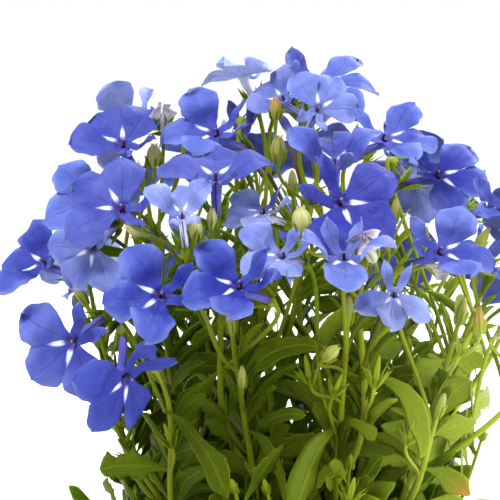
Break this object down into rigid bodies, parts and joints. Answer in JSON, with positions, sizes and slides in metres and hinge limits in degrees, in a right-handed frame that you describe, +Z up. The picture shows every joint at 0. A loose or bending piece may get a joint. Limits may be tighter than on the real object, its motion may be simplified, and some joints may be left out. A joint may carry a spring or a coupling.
{
  "type": "potted trailing lobelia",
  "caption": "Bushy trailing lobelia in a round pot: forked leafy stems under a dome of small lobed flowers, with limbs that arch over the rim.",
  "frame": {"origin": "middle of the pot's underside, on the surface it stands on", "axes": "+Z up along the pot's axis, -Y towards the side of the plant that is seen first"},
  "size_m": [0.148, 0.1377, 0.1995],
  "materials": {
    "pot": "satin brown nursery plastic",
    "soil": "damp peat and bark potting soil, matte",
    "foliage": "living leaf and stem, soft sheen",
    "petals": "living petal, matte with a fine velvet sheen"
  },
  "bodies": {
    "root": {"pot": "pot", "soil": "soil", "shoot_01": "foliage", "shoot_02": "foliage", "shoot_03": "foliage", "shoot_04": "foliage", "shoot_05": "foliage", "shoot_06": "foliage", "shoot_07": "foliage", "shoot_08": "foliage", "shoot_09": "foliage", "shoot_10": "foliage", "shoot_11": "foliage", "bloom_01": "petals", "bloom_02": "petals", "bloom_03": "petals", "bloom_04": "petals", "bloom_05": "petals", "bloom_06": "petals", "bloom_07": "petals", "bloom_08": "petals", "bloom_09": "petals", "bloom_10": "petals", "bloom_11": "petals", "bloom_12": "petals", "bloom_13": "petals", "bloom_14": "petals", "bloom_15": "petals", "bloom_16": "petals", "bloom_17": "petals", "bloom_18": "petals", "bloom_19": "petals", "bloom_20": "petals", "bloom_21": "petals", "bloom_22": "petals", "bloom_23": "petals", "bloom_24": "petals", "bloom_25": "petals", "bloom_26": "petals", "bloom_27": "petals", "bloom_28": "petals", "bloom_29": "petals", "bloom_30": "petals", "bloom_31": "petals", "bloom_32": "petals", "bloom_33": "petals", "bloom_34": "petals", "bloom_35": "petals", "bloom_36": "petals", "bloom_37": "petals", "bloom_38": "petals", "bloom_39": "petals", "bloom_40": "petals", "bloom_41": "petals", "bloom_42": "petals", "bloom_43": "petals", "bloom_44": "petals", "bloom_45": "petals", "bloom_46": "petals", "bloom_47": "petals"}
  },
  "joints": []
}
